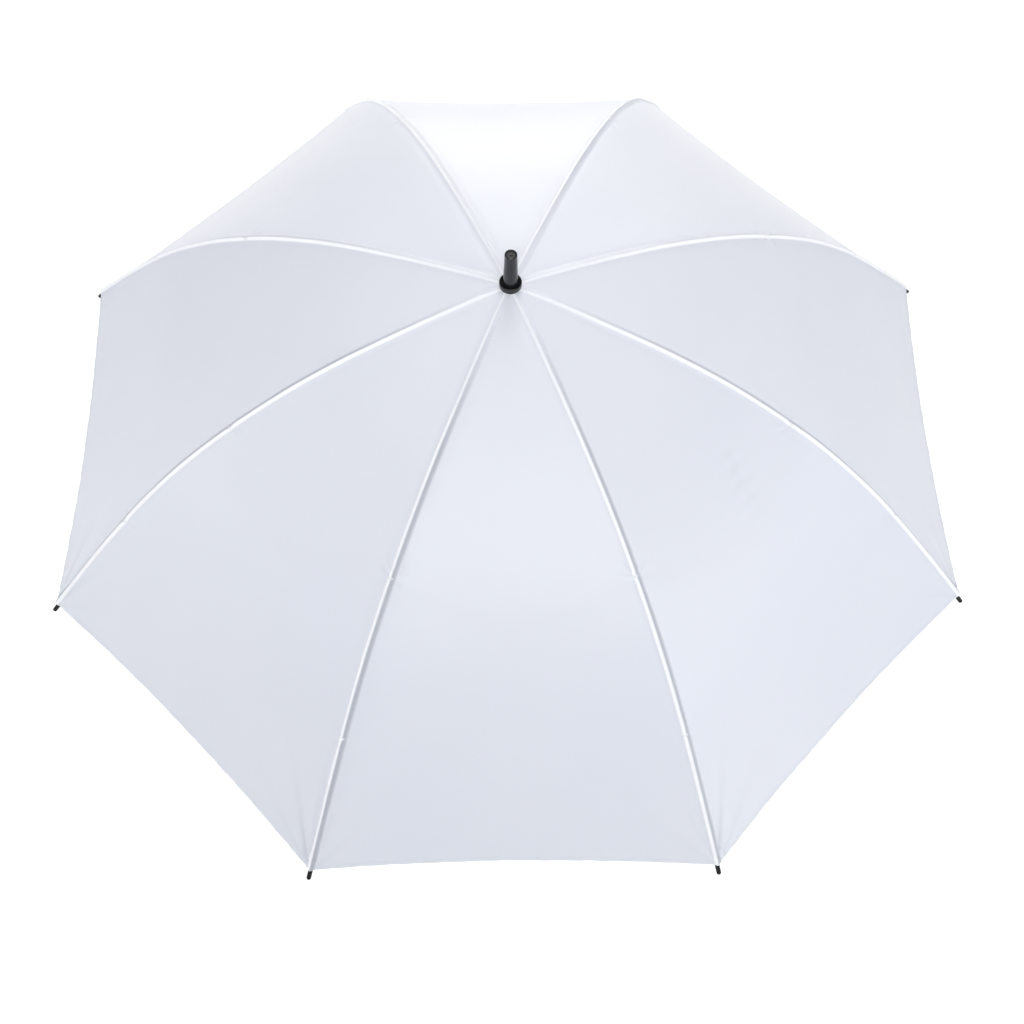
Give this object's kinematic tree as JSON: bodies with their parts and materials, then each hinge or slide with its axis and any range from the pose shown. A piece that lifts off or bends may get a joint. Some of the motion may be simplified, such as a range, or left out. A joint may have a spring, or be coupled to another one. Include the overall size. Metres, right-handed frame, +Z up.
{
  "type": "photographic umbrella",
  "caption": "White shoot-through studio umbrella: a ribbed dome of cloth over folding steel ribs and stretchers on a straight shaft, with a black ferrule and rib tips.",
  "frame": {"origin": "centre of the shaft's lower end", "axes": "+Z up the shaft to the ferrule; -Y is the front, midway between two ribs"},
  "size_m": [0.9368, 0.9368, 0.8094],
  "materials": {
    "plated_steel": "bright zinc plate",
    "spring_steel": "satin spring steel",
    "black_nylon": "fine matte moulding",
    "black_gloss_plastic": "satin gloss moulding",
    "glass_fibre": "pale drawn rod with a slight grain",
    "white_cloth": "closely woven satin polyester"
  },
  "bodies": {
    "shaft": {"shaft_tube": "plated_steel", "end_plug": "black_nylon", "lower_stop": "plated_steel", "catch_pin": "plated_steel", "upper_stop": "black_nylon", "notch": "black_nylon", "notch_ring": "plated_steel", "inner_rosette": "white_cloth", "canopy_crown": "white_cloth", "collar": "black_gloss_plastic", "ferrule": "black_gloss_plastic"},
    "catch": {"catch_lever": "spring_steel"},
    "runner": {"runner": "black_nylon", "runner_ring": "plated_steel"},
    "rib_1": {"rib_inner_1": "plated_steel", "canopy_1": "white_cloth"},
    "rib_end_1": {"rib_outer_1": "glass_fibre", "rib_tip_1": "black_gloss_plastic"},
    "arm_1": {"stretcher_1": "plated_steel"},
    "rib_2": {"rib_inner_2": "plated_steel", "canopy_2": "white_cloth"},
    "rib_end_2": {"rib_outer_2": "glass_fibre", "rib_tip_2": "black_gloss_plastic"},
    "arm_2": {"stretcher_2": "plated_steel"},
    "rib_3": {"rib_inner_3": "plated_steel", "canopy_3": "white_cloth"},
    "rib_end_3": {"rib_outer_3": "glass_fibre", "rib_tip_3": "black_gloss_plastic"},
    "arm_3": {"stretcher_3": "plated_steel"},
    "rib_4": {"rib_inner_4": "plated_steel", "canopy_4": "white_cloth"},
    "rib_end_4": {"rib_outer_4": "glass_fibre", "rib_tip_4": "black_gloss_plastic"},
    "arm_4": {"stretcher_4": "plated_steel"},
    "rib_5": {"rib_inner_5": "plated_steel", "canopy_5": "white_cloth"},
    "rib_end_5": {"rib_outer_5": "glass_fibre", "rib_tip_5": "black_gloss_plastic"},
    "arm_5": {"stretcher_5": "plated_steel"},
    "rib_6": {"rib_inner_6": "plated_steel", "canopy_6": "white_cloth"},
    "rib_end_6": {"rib_outer_6": "glass_fibre", "rib_tip_6": "black_gloss_plastic"},
    "arm_6": {"stretcher_6": "plated_steel"},
    "rib_7": {"rib_inner_7": "plated_steel", "canopy_7": "white_cloth"},
    "rib_end_7": {"rib_outer_7": "glass_fibre", "rib_tip_7": "black_gloss_plastic"},
    "arm_7": {"stretcher_7": "plated_steel"},
    "rib_8": {"rib_inner_8": "plated_steel", "canopy_8": "white_cloth"},
    "rib_end_8": {"rib_outer_8": "glass_fibre", "rib_tip_8": "black_gloss_plastic"},
    "arm_8": {"stretcher_8": "plated_steel"}
  },
  "joints": [
    {"name": "fold_1", "type": "hinge", "parent": "shaft", "child": "rib_1", "pos_m": [0.00383, -0.00924, 0.76], "axis": [0.9239, 0.3827, 0], "range_deg": [0, 70], "deforming": ["canopy_1"]},
    {"name": "flex_1", "type": "hinge", "parent": "rib_1", "child": "rib_end_1", "pos_m": [0.1074, -0.25928, 0.68785], "axis": [0.9239, 0.3827, 0], "range_deg": [-28, 0]},
    {"name": "elbow_1", "type": "hinge", "parent": "rib_1", "child": "arm_1", "pos_m": [0.1074, -0.25928, 0.68785], "axis": [0.9239, 0.3827, 0], "range_deg": [-140, 0]},
    {"name": "runner_slide", "type": "hinge", "parent": "arm_1", "child": "runner", "pos_m": [0.00383, -0.00924, 0.61571], "axis": [0.9239, 0.3827, 0], "range_deg": [0, 70], "deforming": ["catch_lever"]},
    {"name": "fold_2", "type": "hinge", "parent": "shaft", "child": "rib_2", "pos_m": [0.00924, -0.00383, 0.76], "axis": [0.3827, 0.9239, 0], "range_deg": [0, 70], "deforming": ["canopy_2"]},
    {"name": "flex_2", "type": "hinge", "parent": "rib_2", "child": "rib_end_2", "pos_m": [0.25928, -0.1074, 0.68785], "axis": [0.3827, 0.9239, 0], "range_deg": [-28, 0]},
    {"name": "elbow_2", "type": "hinge", "parent": "rib_2", "child": "arm_2", "pos_m": [0.25928, -0.1074, 0.68785], "axis": [0.3827, 0.9239, 0], "range_deg": [-140, 0]},
    {"name": "fold_3", "type": "hinge", "parent": "shaft", "child": "rib_3", "pos_m": [0.00924, 0.00383, 0.76], "axis": [-0.3827, 0.9239, 0], "range_deg": [0, 70], "deforming": ["canopy_3"]},
    {"name": "flex_3", "type": "hinge", "parent": "rib_3", "child": "rib_end_3", "pos_m": [0.25928, 0.1074, 0.68785], "axis": [-0.3827, 0.9239, 0], "range_deg": [-28, 0]},
    {"name": "elbow_3", "type": "hinge", "parent": "rib_3", "child": "arm_3", "pos_m": [0.25928, 0.1074, 0.68785], "axis": [-0.3827, 0.9239, 0], "range_deg": [-140, 0]},
    {"name": "fold_4", "type": "hinge", "parent": "shaft", "child": "rib_4", "pos_m": [0.00383, 0.00924, 0.76], "axis": [-0.9239, 0.3827, 0], "range_deg": [0, 70], "deforming": ["canopy_4"]},
    {"name": "flex_4", "type": "hinge", "parent": "rib_4", "child": "rib_end_4", "pos_m": [0.1074, 0.25928, 0.68785], "axis": [-0.9239, 0.3827, 0], "range_deg": [-28, 0]},
    {"name": "elbow_4", "type": "hinge", "parent": "rib_4", "child": "arm_4", "pos_m": [0.1074, 0.25928, 0.68785], "axis": [-0.9239, 0.3827, 0], "range_deg": [-140, 0]},
    {"name": "fold_5", "type": "hinge", "parent": "shaft", "child": "rib_5", "pos_m": [-0.00383, 0.00924, 0.76], "axis": [-0.9239, -0.3827, 0], "range_deg": [0, 70], "deforming": ["canopy_5"]},
    {"name": "flex_5", "type": "hinge", "parent": "rib_5", "child": "rib_end_5", "pos_m": [-0.1074, 0.25928, 0.68785], "axis": [-0.9239, -0.3827, 0], "range_deg": [-28, 0]},
    {"name": "elbow_5", "type": "hinge", "parent": "rib_5", "child": "arm_5", "pos_m": [-0.1074, 0.25928, 0.68785], "axis": [-0.9239, -0.3827, 0], "range_deg": [-140, 0]},
    {"name": "fold_6", "type": "hinge", "parent": "shaft", "child": "rib_6", "pos_m": [-0.00924, 0.00383, 0.76], "axis": [-0.3827, -0.9239, 0], "range_deg": [0, 70], "deforming": ["canopy_6"]},
    {"name": "flex_6", "type": "hinge", "parent": "rib_6", "child": "rib_end_6", "pos_m": [-0.25928, 0.1074, 0.68785], "axis": [-0.3827, -0.9239, 0], "range_deg": [-28, 0]},
    {"name": "elbow_6", "type": "hinge", "parent": "rib_6", "child": "arm_6", "pos_m": [-0.25928, 0.1074, 0.68785], "axis": [-0.3827, -0.9239, 0], "range_deg": [-140, 0]},
    {"name": "fold_7", "type": "hinge", "parent": "shaft", "child": "rib_7", "pos_m": [-0.00924, -0.00383, 0.76], "axis": [0.3827, -0.9239, 0], "range_deg": [0, 70], "deforming": ["canopy_7"]},
    {"name": "flex_7", "type": "hinge", "parent": "rib_7", "child": "rib_end_7", "pos_m": [-0.25928, -0.1074, 0.68785], "axis": [0.3827, -0.9239, 0], "range_deg": [-28, 0]},
    {"name": "elbow_7", "type": "hinge", "parent": "rib_7", "child": "arm_7", "pos_m": [-0.25928, -0.1074, 0.68785], "axis": [0.3827, -0.9239, 0], "range_deg": [-140, 0]},
    {"name": "fold_8", "type": "hinge", "parent": "shaft", "child": "rib_8", "pos_m": [-0.00383, -0.00924, 0.76], "axis": [0.9239, -0.3827, 0], "range_deg": [0, 70], "deforming": ["canopy_8"]},
    {"name": "flex_8", "type": "hinge", "parent": "rib_8", "child": "rib_end_8", "pos_m": [-0.1074, -0.25928, 0.68785], "axis": [0.9239, -0.3827, 0], "range_deg": [-28, 0]},
    {"name": "elbow_8", "type": "hinge", "parent": "rib_8", "child": "arm_8", "pos_m": [-0.1074, -0.25928, 0.68785], "axis": [0.9239, -0.3827, 0], "range_deg": [-140, 0]},
    {"name": "catch_press", "type": "hinge", "parent": "shaft", "child": "catch", "pos_m": [0, -0.0025, 0.55511], "axis": [-1, 0, 0], "range_deg": [0, 8], "stiffness_Nm_per_rad": 0.3}
  ],
  "couplings": [
    {"joint": "flex_1", "follows": "fold_1", "ratio": -0.4},
    {"joint": "elbow_1", "follows": "fold_1", "ratio": -2},
    {"joint": "fold_2", "follows": "fold_1", "ratio": 1},
    {"joint": "flex_2", "follows": "fold_1", "ratio": -0.4},
    {"joint": "elbow_2", "follows": "fold_1", "ratio": -2},
    {"joint": "fold_3", "follows": "fold_1", "ratio": 1},
    {"joint": "flex_3", "follows": "fold_1", "ratio": -0.4},
    {"joint": "elbow_3", "follows": "fold_1", "ratio": -2},
    {"joint": "fold_4", "follows": "fold_1", "ratio": 1},
    {"joint": "flex_4", "follows": "fold_1", "ratio": -0.4},
    {"joint": "elbow_4", "follows": "fold_1", "ratio": -2},
    {"joint": "fold_5", "follows": "fold_1", "ratio": 1},
    {"joint": "flex_5", "follows": "fold_1", "ratio": -0.4},
    {"joint": "elbow_5", "follows": "fold_1", "ratio": -2},
    {"joint": "fold_6", "follows": "fold_1", "ratio": 1},
    {"joint": "flex_6", "follows": "fold_1", "ratio": -0.4},
    {"joint": "elbow_6", "follows": "fold_1", "ratio": -2},
    {"joint": "fold_7", "follows": "fold_1", "ratio": 1},
    {"joint": "flex_7", "follows": "fold_1", "ratio": -0.4},
    {"joint": "elbow_7", "follows": "fold_1", "ratio": -2},
    {"joint": "fold_8", "follows": "fold_1", "ratio": 1},
    {"joint": "flex_8", "follows": "fold_1", "ratio": -0.4},
    {"joint": "elbow_8", "follows": "fold_1", "ratio": -2},
    {"joint": "runner_slide", "follows": "fold_1", "ratio": 1}
  ]
}
